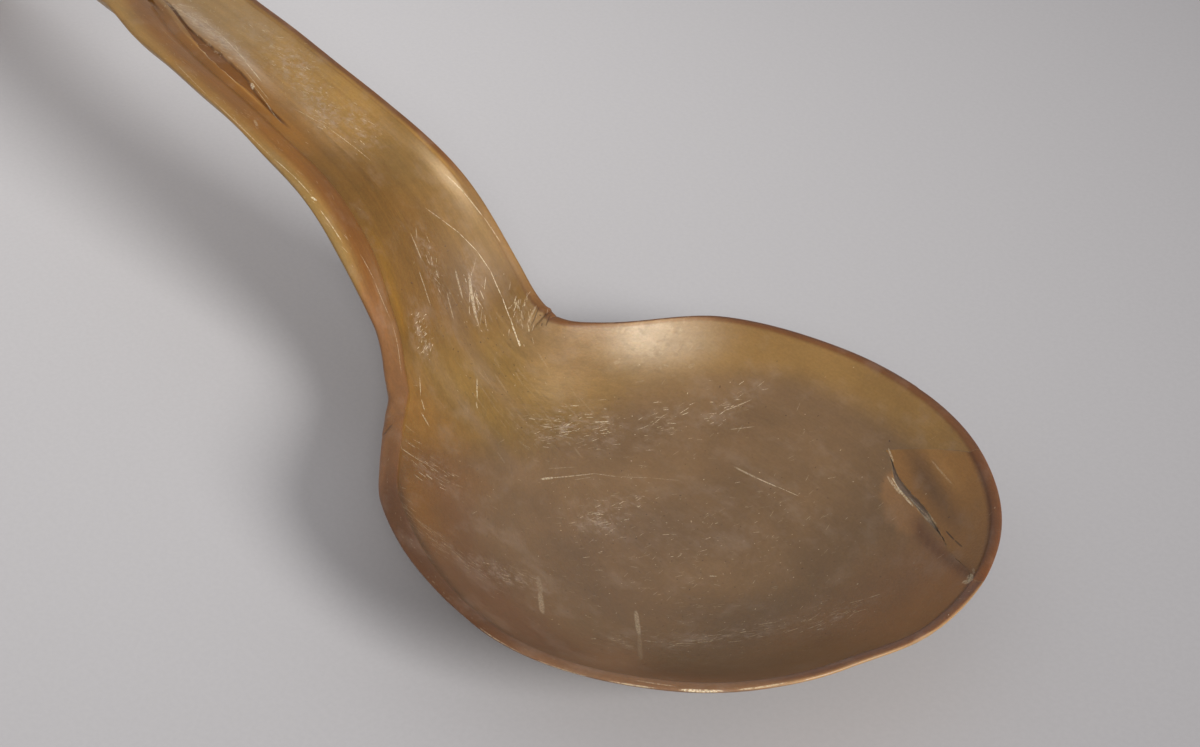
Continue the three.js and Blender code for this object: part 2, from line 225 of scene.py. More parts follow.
def ribProfiles(rib):  # distance out and height for every rib and point
    grid, shape = skinGrid, spoonShape
    section = {key: value[:, None] for key, value in sectionOf(rib).items()}
    reach, wall = rib["reach"][:, None], section["wall"]
    slitEdge = reach - wall - section["slitWidth"]
    faceOut = (1 - (1 - np.linspace(0, 1, grid["facePoints"])) ** grid["faceSpacing"]) * slitEdge
    faceUp = faceHeight(section, reach, faceOut)
    slitShare = (np.arange(grid["slitPoints"]) + 1) / (grid["slitPoints"] + 1)
    slitOut = slitEdge + slitShare * section["slitWidth"]
    slitUp = faceUp[:, -1:] + (-shape["rimDrop"] - section["step"] - faceUp[:, -1:]) * slitShare
    slitUp = slitUp - section["slitDepth"] * np.sin(np.pi * slitShare ** shape["slitSkew"]) ** 0.5
    firstTurn = math.radians(shape["rimTurn"])
    turnShare = np.linspace(0, 1, grid["undersidePoints"]) ** grid["undersideSpacing"]
    turn = firstTurn + turnShare * (math.pi / 2 - firstTurn)
    out = np.maximum(np.cos(turn), 0) ** (2 / shape["bellyPower"])
    out[-1] = 0
    underOut = reach * out
    underUp = -section["belly"] * np.sin(turn) ** (2 / section["bellyRoundness"])
    underUp = underUp - section["bulge"] * np.sin(math.pi * np.minimum(1, out)) ** 2
    t = np.linspace(0, 1, grid["rimPoints"])
    crestShare = shape["rimLean"] + shape["crestShiftPerLean"] * section["lean"]
    overhang = np.minimum(wall, shape["fullestWall"]) * shape["rimFullness"]
    corners = [
        (reach - wall, -shape["rimDrop"] - section["lean"]),
        (reach - wall * (1 - crestShare), shape["rimCrest"]),
        (reach + overhang, shape["rimCrest"]),
        (underOut[:, :1], underUp[:, :1]),
    ]
    weights = [(1 - t) ** 3, 3 * t * (1 - t) ** 2, 3 * t * t * (1 - t), t ** 3]
    rimOut, rimUp = (sum(weight * corner[k] for weight, corner in zip(weights, corners)) for k in (0, 1))
    outward = np.concatenate([faceOut, slitOut, rimOut, underOut[:, 1:]], 1)
    return outward, np.concatenate([faceUp, slitUp, rimUp, underUp[:, 1:]], 1)


def hornSkin():  # positions, and grain places: along the spoon, across it, and out from the rim
    places = ribPlaces()
    lip = lipRibs(np.linspace(-90, 90, int(180 / skinGrid["lipStep"]) + 1))
    parts = [handleRibs(places[::-1].copy(), -1), lip, handleRibs(places, 1)]
    rib = {key: np.concatenate([part[key] for part in parts]) for key in lip}
    outward, upward = ribProfiles(rib)
    points = rib["origin"][:, None] + rib["outward"][:, None] * outward[..., None]
    points = points + rib["upward"][:, None] * upward[..., None]
    lengths = np.hypot(np.diff(outward, axis=1), np.diff(upward, axis=1))
    along = np.concatenate([np.zeros((len(outward), 1)), np.cumsum(lengths, axis=1)], 1)
    rimStart = skinGrid["facePoints"] + skinGrid["slitPoints"]
    onLip = (rib["place"] == 0)[:, None]
    grainS = np.where(onLip, -points[..., 0], rib["place"][:, None])
    grainV = np.where(onLip, points[..., 1], rib["origin"][:, 1:2] + rib["side"][:, None] * outward)
    return points, np.stack([grainS, grainV, along - along[:, rimStart:rimStart + 1]], -1), len(places)


print("shape ready")


# The split layer at the lip, seen from above: rows along it, columns from its torn edge past the rim

splitLayer = {
    "innerAngles": (85.2, 25), "outerAngles": (66.5, 25),
    "innerShare": [(0, 0.78), (0.2, 0.75), (0.45, 0.775), (0.75, 0.83), (1, 0.94)],
    "thickness": 0.5, "gap": 0.05, "rows": 90, "faceColumns": 14, "rimColumns": 3,
    "pastRim": 1.05, "blockTop": 29.0, "gradeStep": 0.5, "tornGrain": -4.0,
    "tear": 0.16, "tearPitch": 31, "tearRow": 0.7, "tearNoise": (0.7, 2.1, 4), "tearStart": 0.06,
    "seatTear": 0.4, "crackWidth": 0.85, "crack": (0.02, 0.2, 0.45, 0.7),
    "lift": 0.22, "liftReach": 4, "lifted": (0.03, 0.28, 0.4, 0.7),
}
innerShareAt = curveThrough(splitLayer["innerShare"])


def layerPlan(growth):
    layer = splitLayer
    along = np.linspace(0, 1, layer["rows"] + 1)
    columns = layer["faceColumns"] + layer["rimColumns"] + 1
    places = [Vector((row * layer["tearPitch"], layer["tearRow"], 0)) for row in along]
    tear = [noise.fractal(place, *layer["tearNoise"]) for place in places]
    tear = layer["tear"] * np.array(tear) * ramp(along, 0, layer["tearStart"])
    if growth > 0:
        tear = layer["seatTear"] * tear[::-1] - layer["crackWidth"] * between(along, *layer["crack"])
    inner, outer = (layer[key][0] + (layer[key][1] - layer[key][0]) * along
                    for key in ("innerAngles", "outerAngles"))
    plan = np.zeros((len(along), columns, 2))
    for column in range(columns):
        across = min(1, column / layer["faceColumns"])
        rib = lipRibs(inner + (outer - inner) * across)
        faceEdge = rib["reach"] - sectionOf(rib)["wall"]
        start = rib["reach"] * innerShareAt(along) + tear
        pastRim = (column - layer["faceColumns"]) / layer["rimColumns"]
        distance = start + (faceEdge - start) * across
        if pastRim > 0:
            distance = faceEdge + pastRim * (rib["reach"] * layer["pastRim"] - faceEdge)
        plan[:, column] = rib["outward"][:, :2] * distance[:, None]
    return plan


def squareTo(start, end):  # the direction square to a line, to its right
    side = np.stack([end[..., 1] - start[..., 1], start[..., 0] - end[..., 0]], -1)
    return side / np.linalg.norm(side, axis=-1, keepdims=True)


def grownPlan(growth):  # ends and inner edge moved out, mitred at corners
    plan = layerPlan(growth)
    edge = splitLayer["faceColumns"]
    grown = plan.copy()
    before = np.concatenate([plan[:1, 0], plan[:-1, 0]])
    after = np.concatenate([plan[1:, 0], plan[-1:, 0]])
    inner = squareTo(before, after)
    ends = {0: squareTo(plan[0, edge], plan[0, 0]), len(plan) - 1: squareTo(plan[-1, 0], plan[-1, edge])}
    grown[1:-1, 0] += growth * inner[1:-1]
    for row, side in ends.items():
        grown[row, 1:] += growth * side
        grown[row, 0] += growth * (side + inner[row]) / (1 + side @ inner[row])
    return grown


def seatHeight(points, depth):  # the bowl's face, lowered square to itself
    x, y = points.T
    rib = lipRibs(np.degrees(np.arctan2(y / (spoonShape["bowlWidth"] / 2), x / spoonShape["lipReach"])))
    section = sectionOf(rib)
    step = splitLayer["gradeStep"]
    distance = np.minimum(np.hypot(x, y), rib["reach"] - section["wall"])
    height = faceHeight(section, rib["reach"], distance)
    grade = (height - faceHeight(section, rib["reach"], distance - step)) / step
    return spoonShape["rimHeight"] + height - depth * np.hypot(1, grade)


def layerBlock(name, growth, offset):  # a closed block that cuts the layer or its seat
    plan = grownPlan(growth)
    flat = plan.reshape(-1, 2)
    count = len(flat)
    low = np.column_stack([flat, seatHeight(flat, splitLayer["thickness"] + growth)])
    top = np.column_stack([flat, np.full(count, splitLayer["blockTop"])])
    points = np.concatenate([low, top])
    index = np.arange(count).reshape(plan.shape[:2])
    a, b, c, d = (part.ravel() for part in (index[:-1, :-1], index[:-1, 1:], index[1:, 1:], index[1:, :-1]))
    border = np.concatenate([index[:-1, 0], index[-1, :-1], index[:0:-1, -1], index[0, :0:-1]])
    after = np.roll(border, -1)
    faces = np.concatenate([
        np.column_stack([a, b, c, d]), np.column_stack([a, d, c, b]) + count,
        np.column_stack([border, after, after + count, border + count]),
    ])
    grain = np.column_stack([-points[:, 0], points[:, 1], np.full(len(points), splitLayer["tornGrain"])])
    return meshPiece(name, (points + offset) * mm, faces.tolist(), grain[faces.ravel()], 1)


def meshPiece(name, points, faces, grain, broken):  # grain places and state for every corner
    mesh = bpy.data.meshes.new(name)
    mesh.from_pydata(points.tolist(), [], faces)
    addCornerVector(mesh, "grain", grain)
    addCornerVector(mesh, "state", np.full((len(grain), 3), (broken, 0, 0)))
    return addObject(name, mesh)


def addObject(name, data):
    thing = bpy.data.objects.new(name, data)
    bpy.context.scene.collection.objects.link(thing)
    return thing


def addCornerVector(mesh, name, values):
    layer = mesh.attributes.get(name) or mesh.attributes.new(name, "FLOAT_VECTOR", "CORNER")
    layer.data.foreach_set("vector", np.ascontiguousarray(values, np.float32).ravel())


def cutPiece(piece, cutter, operation):  # cuts or keeps what the block covers
    cut = piece.modifiers.new("cut", "BOOLEAN")
    cut.operation = operation
    cut.solver = "EXACT"
    cut.object = cutter
    graph = bpy.context.evaluated_depsgraph_get()
    done = bpy.data.meshes.new_from_object(piece.evaluated_get(graph), preserve_all_data_layers=True,
                                           depsgraph=graph)
    piece.modifiers.clear()
    old = piece.data
    piece.data = done
    bpy.data.meshes.remove(old)


# Making the two pieces of horn

scraperSwells = {
    "height": 0.10, "pitch": 0.19, "drift": 1.3, "driftPitch": 0.11,
    "crossHeight": 0.07, "crossPitch": 0.31, "slant": 0.05, "onTop": 0.7, "under": 0.8, "lowest": 0.8,
}
edgeMarks = {  # places along and out from the rim, widths, and how far they go
    "spur": [(72.4, 0.7, 0.6), (69.8, 1.6, -0.5)], "spurReach": 3.2,
    "cracks": [(71.9, 0.06, 0.24, (-6.2, -3.5), 0.35), (70.2, -0.1, 0.22, (-2.6, -1.4), 0.22)],
    "crackEnd": 3.5, "nick": (57.2, 0.9, 3.6, 1.6, 0.25), "chip": (-49.5, 1.6, 1.2, 1.1, -0.45),
}
nearPocket = {
    "depth": 0.55, "ends": (138, 150, 196, 212), "widest": (153, 165, 174, 194),
    "halfWidth": 1.1, "slitHalfWidth": 0.16, "edge": 0.3, "ragged": [(0.14, 1.3, 0), (0.1, 3.1, 1)],
    "middle": -3.4, "shift": -1.1, "shiftPlaces": (145, 166),
}


def pocketShare(s, v, w):  # 1 in the open pocket beside the handle's near wall
    pocket = nearPocket
    ragged = sum(size * np.sin(s * pitch + phase) for size, pitch, phase in pocket["ragged"])
    halfWidth = (pocket["halfWidth"] + ragged) * between(s, *pocket["widest"]) + pocket["slitHalfWidth"]
    middle = pocket["middle"] + pocket["shift"] * ramp(s, *pocket["shiftPlaces"])
    inside = 1 - ramp(np.abs(w - middle), halfWidth, halfWidth + pocket["edge"])
    return inside * between(s, *pocket["ends"]) * (v < 2)


def roughenCarving(points, s, v, w):  # slow swells left by the scraper
    swells = scraperSwells
    drift = swells["drift"] * np.sin(v * swells["driftPitch"])
    swell = swells["height"] * np.sin(s * swells["pitch"] + drift)
    swell = swell + swells["crossHeight"] * np.sin(v * swells["crossPitch"] + s * swells["slant"])
    share = swells["onTop"] + swells["under"] * ramp(w, 3, 9)
    points[..., 2] += swell * share * (points[..., 2] > swells["lowest"])


def markEdges(points, s, v, w):  # the spur and cracks at the far notch, a nick and a chip
    marks, far = edgeMarks, v > 0
    spur = sum(size * hump(s, place, width) for place, width, size in marks["spur"])
    points[..., 1] += spur * hump(w, 0, marks["spurReach"]) * far
    for place, slant, width, start, depth in marks["cracks"]:
        crack = hump(s - slant * w, place, width) * ramp(w, *start) * far * (w < marks["crackEnd"])
        points[..., 2] -= depth * crack
    for name, axis, side in (("nick", 1, v < 0), ("chip", 2, far)):
        place, width, out, reach, size = marks[name]
        points[..., axis] += size * hump(s, place, width) * hump(w, out, reach) * side


def carveHorn():
    points, grain, count = hornSkin()
    places = np.moveaxis(grain, -1, 0)
    roughenCarving(points, *places)
    markEdges(points, *places)
    points[..., 2] -= nearPocket["depth"] * pocketShare(*places)
    points[..., 2] = np.maximum(points[..., 2], 0)
    ringCount, pointCount = points.shape[:2]
    corner = np.arange(ringCount * pointCount).reshape(ringCount, pointCount)
    vertexOf = corner.copy()
    for column in (0, pointCount - 1):  # the two halves meet along the midline
        vertexOf[ringCount - count:, column] = vertexOf[::-1][ringCount - count:, column]
        vertexOf[count:ringCount - count, column] = vertexOf[count, column]
    apex = corner.size
    vertexOf = np.append(vertexOf.ravel(), apex)
    end = handleRibs(np.array([float(spoonShape["handleEnd"])]), 1)
    tip = end["origin"][0] - end["upward"][0] * spoonShape["tipDrop"]
    tip[2] = max(tip[2], spoonShape["tipLowest"])
    flat = np.concatenate([points.reshape(-1, 3), [tip]])
    grain = np.concatenate([grain.reshape(-1, 3), [[spoonShape["handleEnd"], tip[1], 2]]])
    faces, faceCorners = [], []

    def addFace(*corners):  # leaves out corners that share a vertex
        own = [int(vertexOf[one]) for one in corners]
        kept = [i for i in range(len(own)) if own[i] not in own[:i]]
        if len(kept) > 2:
            faces.append([own[i] for i in kept])
            faceCorners.extend(corners[i] for i in kept)

    for r in range(ringCount - 1):
        for q in range(pointCount - 1):
            addFace(corner[r, q], corner[r, q + 1], corner[r + 1, q + 1], corner[r + 1, q])
    for q in range(pointCount - 1):
        addFace(corner[0, q + 1], corner[0, q], apex)
        addFace(corner[-1, q], corner[-1, q + 1], apex)
    used = np.unique(np.concatenate(faces))
    renumber = np.full(len(flat), -1)
    renumber[used] = np.arange(len(used))
    return flat[used], [renumber[face].tolist() for face in faces], grain[np.array(faceCorners)]


def fitOffset(points):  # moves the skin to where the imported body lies
    boxes = [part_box("spoon_body"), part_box("lip_layer")]
    low, high = np.min([box[0] for box in boxes], 0) / mm, np.max([box[1] for box in boxes], 0) / mm
    middle = (points.min(0) + points.max(0)) / 2
    return np.array([low[0] - points[:, 0].min(), (low[1] + high[1]) / 2 - middle[1], 0]), low, high


hornPoints, hornFaces, hornGrain = carveHorn()
hornOffset, lowCorner, highCorner = fitOffset(hornPoints)
hornPoints = np.clip(hornPoints + hornOffset, lowCorner, highCorner) * mm
print("offset", hornOffset, "faces", len(hornFaces))

hornSpoon = meshPiece("horn_spoon", hornPoints, hornFaces, hornGrain, 0)
splitPiece = meshPiece("split_layer", hornPoints, hornFaces, hornGrain, 0)
seatCutter = layerBlock("seat_cutter", splitLayer["gap"], hornOffset)
layerCutter = layerBlock("layer_cutter", 0, hornOffset)
cutPiece(hornSpoon, seatCutter, "DIFFERENCE")
cutPiece(splitPiece, layerCutter, "INTERSECT")
for cutter in (seatCutter, layerCutter):
    bpy.data.objects.remove(cutter)
for piece in (hornSpoon, splitPiece):
    piece.data.polygons.foreach_set("use_smooth", [True] * len(piece.data.polygons))
    piece.data.set_sharp_from_angle(angle=math.radians(skinGrid["sharpAngle"]))
print("horn carved", len(hornSpoon.data.polygons), "layer", len(splitPiece.data.polygons))


def liftTornEdge(piece):  # it stands open along the crack
    layer = splitLayer
    plan = layerPlan(0)[:, 0] + hornOffset[:2]
    opening = between(np.linspace(0, 1, len(plan)), *layer["lifted"])
    for vertex in piece.data.vertices:
        gaps = np.hypot(plan[:, 0] - vertex.co.x / mm, plan[:, 1] - vertex.co.y / mm)
        nearest = int(np.argmin(gaps))
        vertex.co.z += layer["lift"] * opening[nearest] * hump(gaps[nearest], 0, layer["liftReach"]) * mm


liftTornEdge(splitPiece)


# Colours of the horn by place, with some painted highlights and painted shade, painted on the mesh and then
# broken up by the materials' nodes

toneShades = {  # red, green and blue as the eye reads them
    "bowlFloor": (114, 89, 61), "farWall": (134, 103, 56), "nearWall": (100, 69, 45),
    "nearAmber": (112, 75, 32), "lipWall": (146, 103, 62), "lipWallNear": (150, 106, 72),
    "neck": (126, 97, 48), "neckAmber": (139, 99, 45), "neckFar": (140, 111, 72),
    "lowHandle": (106, 74, 26), "lowFarSide": (126, 96, 50), "handleNear": (133, 91, 34),
    "handle": (156, 120, 61), "underside": (128, 96, 56), "nearFloor": (105, 81, 57),
    "farRim": (106, 68, 34), "farRimOut": (90, 55, 26), "farEdge": (104, 67, 32),
    "farEdgeOut": (120, 82, 44), "nearRim": (104, 67, 36), "paintedNearRimHighlight": (136, 94, 56),
    "paleRim": (124, 91, 62), "paleRimOut": (114, 84, 58), "lowRim": (90, 57, 32),
    "nearBand": (128, 88, 50), "innerLine": (60, 38, 22), "brownRim": (84, 53, 26),
    "paintedFarEdgeHighlight": (128, 98, 56), "paintedRimHighlight": (188, 158, 122), "lipInner": (96, 66, 48),
    "paintedLipEdgeHighlight": (164, 132, 92), "lowWall": (112, 70, 22), "wallTop": (130, 82, 8),
    "wallOut": (157, 121, 62), "wallOutLow": (136, 108, 58), "litEdge": (166, 122, 58),
    "pocket": (114, 68, 0), "pocketEdgeShade": (78, 44, 12), "amberStrip": (120, 84, 22),
    "mauveStrip": (124, 87, 48), "darkNeck": (90, 63, 20), "paintedHighlight": (200, 180, 152),
    "paintedEdgeHighlight": (178, 151, 112), "paleHorn": (172, 146, 108), "scraped": (180, 156, 130),
    "mauve": (128, 106, 92), "paleFloor": (142, 106, 76), "brokenHorn": (138, 118, 100),
    "groove": (94, 58, 34), "crescent": (152, 112, 70), "layer": (144, 101, 50),
    "layerRim": (98, 60, 28), "layerBand": (98, 72, 46), "paleLayer": (168, 128, 76),
    "scratch": (214, 198, 168), "haze": (176, 158, 142), "pit": (58, 40, 28),
    # floor tones of a painted pool of light: inside it and past it
    "floorInPaintedLight": (219, 219, 221), "floorPastPaintedLight": (137, 136, 139),
}


def tone(shades):  # made linear, as the renderer counts it
    shades = np.array(shades) / 255
    return np.where(shades <= 0.04045, shades / 12.92, ((shades + 0.055) / 1.055) ** 2.4)


tones = {name: tone(shades) for name, shades in toneShades.items()}

hornPatches = [  # tone, s, v, half length, half width, turn, strength
    ("paintedHighlight", 55.5, 30, 7.5, 4.8, -45, 1.0),  # painted highlight near the far notch
    # a second, fainter painted highlight beside it
    ("paintedHighlight", 48, 35.5, 8, 5, -45, 0.45),
    ("farWall", 44, 30, 12, 5, -40, 0.4),
    ("mauve", 70, 0, 14, 2.0, 3, 0.25),
    ("mauve", 60, -10, 16, 1.6, 5, 0.25),
    ("mauve", 20, -8, 22, 12, 120, 0.12),
    ("nearFloor", 8, -20, 24, 14, 0, 0.7),
    ("darkNeck", 86, 4.5, 9, 4, 10, 0.7),
    ("paleFloor", -18.5, -36.5, 9, 6, 50, 0.9),
    ("nearAmber", 47, -25, 7, 7, 0, 0.45),
    ("paleHorn", 61, 9, 5, 3, 100, 0.25),
    ("scraped", 192, 0.6, 14, 2.0, 6, 0.85),  # the scraped facet beside the slit
    ("scraped", 172, -0.6, 16, 1.6, 6, 0.7),
    ("paleHorn", 186, 9, 22, 8, 0, 0.35),
    ("paleHorn", 142, 0, 12, 3, 10, 0.35),
]


def paintOver(colours, rows):  # one tone after another, each with its share
    for name, share in rows:
        colours = colours + (tones[name] - colours) * np.clip(share, 0, 1)[:, None]
    return colours


def paintFace(s, v, z):  # the bowl, the neck and the handle's hollow
    far, near = ramp(v, -6, 30), ramp(-v, 6, 34)
    bandEdge = 17.8 - 5.3 * ramp(s, 18, 60)
    neckStart = 44 + 7 * ramp(-v, 6, 22)
    return paintOver(np.tile(tones["bowlFloor"], (len(s), 1)), [
        ("farWall", ramp(z, bandEdge - 2.2, bandEdge + 2.2) * far),
        ("nearWall", ramp(z, 6.5, 15) * near),
        ("nearAmber", ramp(s, 12, 40) * near * ramp(z, 10, 18)),
        ("lipWall", ramp(-s, 14, 46) * (0.4 + 0.6 * ramp(v, -25, 30))),
        ("lipWallNear", ramp(-s, 8, 36) * near * ramp(z, 12, 20)),
        ("neck", ramp(s, neckStart, neckStart + 16)),
        ("neckAmber", between(s, 47, 64, 72, 84) * ramp(-v, 8, 22)),
        ("neckFar", between(s, 50, 62, 72, 84) * ramp(v, 4, 16)),
        ("lowHandle", ramp(s, 70, 84)),
        ("lowFarSide", ramp(s, 74, 96) * ramp(v, 2, 13)),
        ("lowFarSide", ramp(s, 104, 118) * ramp(v, -3, 8)),
        ("handleNear", ramp(s, 122, 142)),
        ("handle", ramp(s, 116, 136) * ramp(v, -7, 5)),
    ])


def paintStrips(colours, s, v, w):  # beside the handle's near wall, with painted light and painted shade along the pocket's edges
    inPocket = pocketShare(s, v, w)
    litPlace = -2.7 - 0.4 * ramp(s, 150, 170)
    return paintOver(colours, [
        ("wallTop", 0.8 * ramp(w, -3.6, -2.8) * (v < 0) * ramp(s, 132, 152)),
        ("amberStrip", hump(w, -2.6, 1.3) * between(s, 76, 84, 98, 110) * (v < 0)),
        ("litEdge", 0.6 * hump(w, litPlace, 0.28) * between(s, 146, 154, 192, 204) * (v < 2)),
        ("pocket", inPocket),
        # painted shade along the pocket's edges
        ("pocketEdgeShade", 2.8 * inPocket * (1 - inPocket)),
    ])


def paintRims(colours, s, v, w):  # the two rims and the handle's near wall, with painted highlights along some rim edges
    isNear, top = ramp(-v, -2, 6), ramp(w, -0.5, 0.4)
    isFar, nearTop, farTop = 1 - isNear, top * isNear, top * (1 - isNear)
    thinEdge = ramp(s, 76, 100)
    edgeTop = isFar * (top * (1 - thinEdge) + ramp(w, 0.1, 1.1) * thinEdge)
    nearSide = ramp(-v, 20, 32)
    paleRim = nearTop * ramp(-s, 4, 30) * ramp(-v, 6, 22)
    lowRim = top * ramp(-s, 44, 50) * (1 - ramp(np.abs(v + 8), 10, 20))
    lowLip = 0.8 * ramp(-s, 30, 42) * between(v, -34, -16, 21, 26)
    return paintOver(colours, [
        # painted highlight inside the handle's far edge
        ("paintedEdgeHighlight", isFar * hump(w, -1.3, 1.7) * hump(s, 109, 9)),
        ("farRim", farTop),
        ("farRimOut", farTop * ramp(w, 0.6, 1.7)),
        # painted highlight on the far rim near the notch
        ("paintedRimHighlight", 0.8 * farTop * hump(s, 56, 8) * (1 - ramp(w, 0.5, 1.3))),
        ("handle", farTop * thinEdge),
        ("farEdge", edgeTop * ramp(s, 58, 72)),
        ("farEdgeOut", farTop * ramp(w, 1.4, 2.4) * ramp(s, 92, 110)),
        # painted highlight on the top of the far edge beside the neck
        ("paintedFarEdgeHighlight", 0.9 * farTop * between(s, 70, 86, 102, 114)),
        ("nearRim", nearTop),
        # painted highlight along the near rim's outer edge, where it turns down
        ("paintedNearRimHighlight", nearTop * ramp(w, 2.6, 3.9)),
        ("innerLine", 0.75 * hump(w, -1.3, 1.9) * between(s, -26, -8, 36, 50) * nearSide),
        ("brownRim", 0.85 * nearTop * between(s, -22, -4, 34, 46) * nearSide),
        ("paleRim", paleRim * (1 - 0.35 * ramp(w, 1, 2.4))),
        ("paleRimOut", paleRim * ramp(w, 1.2, 2.4)),
        ("lowRim", lowRim * ramp(w, 0.6, 1.8)),
        ("lipInner", lowLip * between(w, -1.4, -0.2, 1.2, 2.2)),
        # painted highlight along the lip rim's outer edge
        ("paintedLipEdgeHighlight", lowLip * ramp(w, 1.8, 2.6)),
        ("nearBand", nearTop * ramp(s, 36, 62)),
        ("lowWall", nearTop * ramp(s, 80, 98)),
        ("mauveStrip", nearTop * between(s, 72, 82, 92, 104) * (1 - ramp(w, 2.4, 3.6))),
        ("wallTop", nearTop * ramp(s, 116, 134)),
        ("wallOut", isNear * ramp(w, 3.8, 8.6) * ramp(s, 84, 102)),
        ("wallOutLow", isNear * ramp(w, 5, 8) * between(s, 88, 104, 126, 146)),
        ("underside", ramp(w, 16, 26)),
    ])


wornPatches = [  # s, v, half length, half width, turn, haze, strokes, longest stroke, heading
    (53.0, 4.5, 6.5, 4.5, 108, 0.8, 60, 2.2, 112), (46, 11, 5, 5, 108, 0.5, 40, 2.2, 118),
    (39, 21, 7, 4.5, 108, 0.35, 34, 2.6, 118), (31, 33, 8, 3, 108, 0.35, 24, 2.6, 128),
    (25.5, -5, 5, 4, 108, 0.7, 26, 2.0, 110), (27, 3, 6, 2.5, 108, 0.4, 14, 2.0, 108),
    (16, -35, 9, 4, 130, 0.7, 30, 2.0, 140), (-9, -27, 4, 3, 110, 0.4, 12, 2, 110),
    (-19, -8, 18, 3, 118, 0.5, 50, 3.5, 114), (-30, 9, 8, 3, 112, 0.4, 24, 3, 108),
    (8, 10, 26, 12, 108, 0.15, 40, 1.8, 108), (80, -8.5, 5, 2.4, 20, 0.6, 46, 1.2, 60),
    (84, 7.4, 8, 2.0, 18, 0.45, 18, 3.6, 16), (92, 1, 10, 2.2, 8, 0.4, 12, 3.0, 6),
    (76, 13.5, 5, 3, 30, 0.3, 46, 2.6, 40), (48.5, -30.5, 7, 5, 30, 0.3, 40, 2.2, 140),
    (142, 2, 12, 3.6, 12, 0.9, 24, 2.4, 165), (132, 6, 8, 3, 12, 0.8, 16, 2.4, 165),
    (160, 6, 12, 4.5, 6, 0.8, 18, 2.6, 165), (186, 0.8, 20, 2.6, 5, 1.0, 24, 5, 176),
    (176, 8, 16, 3, 6, 0.6, 14, 3, 170),
    (215, 3, 18, 5, 0, 0.5, 24, 5, 175), (280, 4, 50, 6, 0, 0.3, 60, 5, 0),
]
layerPatches = [("layerBand", -19, 42.0, 15, 1.8, 24, 0.85), ("paleLayer", -19, 45.6, 8, 0.9, 20, 0.35)]
flakeScar = {"place": (-16.6, 36.8, 10, 3.2, 28), "edge": (0.82, 1.06)}
groove = {"path": [(-18.5, 37), (-20.7, 35.7), (-27.6, 32.1), (-34.4, 29.4), (-41, 26.9), (-48.2, 23.6)],
          "width": 1.1, "start": (18, 26), "steps": 60}


def ovalPlace(s, v, place):  # 1 on the edge of a turned oval
    s0, v0, halfS, halfV, turn = place
    angle = math.radians(turn)
    along = ((s - s0) * math.cos(angle) + (v - v0) * math.sin(angle)) / halfS
    across = ((v - v0) * math.cos(angle) - (s - s0) * math.sin(angle)) / halfV
    return np.hypot(along, across)


def patchShare(s, v, patch):  # strongest in the middle, fading outwards
    return patch[5] * hump(ovalPlace(s, v, patch[:5]), 0, 1)


def paintPatches(s, v, patches):
    return [(name, patchShare(s, v, patch)) for name, *patch in patches]


def grooveShare(s, v, w):  # a soft groove where the layer still holds to the horn
    share = np.zeros(len(s))
    atLip = np.flatnonzero((v > 15) & (s < -10) & (w < 2))
    corners = np.array(groove["path"], float)
    steps = np.linspace(0, len(corners) - 1, groove["steps"])
    path = [np.interp(steps, np.arange(len(corners)), corners[:, k]) for k in (0, 1)]
    gaps = np.hypot(s[atLip, None] - path[0], v[atLip, None] - path[1])
    share[atLip] = hump(gaps.min(1), 0, groove["width"]) * ramp(-s[atLip], *groove["start"])
    return share


def readAll(items, name, size=1, kind=np.int32):
    values = np.zeros(len(items) * size, kind)
    items.foreach_get(name, values)
    return values


def cornerValues(mesh, name):
    values = readAll(mesh.attributes[name].data, "vector", 3, np.float32)
    return values.reshape(-1, 3).astype(float)


def cornerHeights(mesh):
    places = readAll(mesh.vertices, "co", 3, np.float32)
    return places[2::3][readAll(mesh.loops, "vertex_index")] / mm


def paintPiece(piece, isLayer):
    s, v, w = cornerValues(piece.data, "grain").T
    broken = cornerValues(piece.data, "state")[:, 0]
    colours = paintFace(s, v, cornerHeights(piece.data))
    colours = paintOver(colours, paintPatches(s, v, hornPatches))
    colours = paintRims(paintStrips(colours, s, v, w), s, v, w)
    if isLayer:
        colours = paintOver(colours, [("layer", np.full(len(s), 0.75))])
        colours = paintOver(colours, paintPatches(s, v, layerPatches))
        colours = paintOver(colours, [("layerRim", ramp(w, -1.3, 0.1))])
    else:
        scar = 1 - ramp(ovalPlace(s, v, flakeScar["place"]), *flakeScar["edge"])
        colours = paintOver(colours, [("crescent", 0.6 * scar)])
    inGroove = grooveShare(s, v, w)
    colours = paintOver(colours, [("groove", 0.75 * inGroove), ("brokenHorn", broken * (1 - inGroove))])
    addCornerVector(piece.data, "paint", colours)
    rough = np.max([patchShare(s, v, patch) for patch in wornPatches], 0) * (1 - ramp(w, -0.5, 1.5))
    rough = rough * (1 - (v < 0) * ramp(s, 116, 128) * ramp(w, -5.6, -3.4)) * (1 - pocketShare(s, v, w))
    addCornerVector(piece.data, "state", np.stack([broken, rough, 0 * rough], 1))


paintPiece(hornSpoon, False)
paintPiece(splitPiece, True)
print("horn painted")


# Scratches, pits and fibre marks. Every face keeps the strokes that cross it, as places along and across
# each one, so that the materials can draw them far finer than the faces.

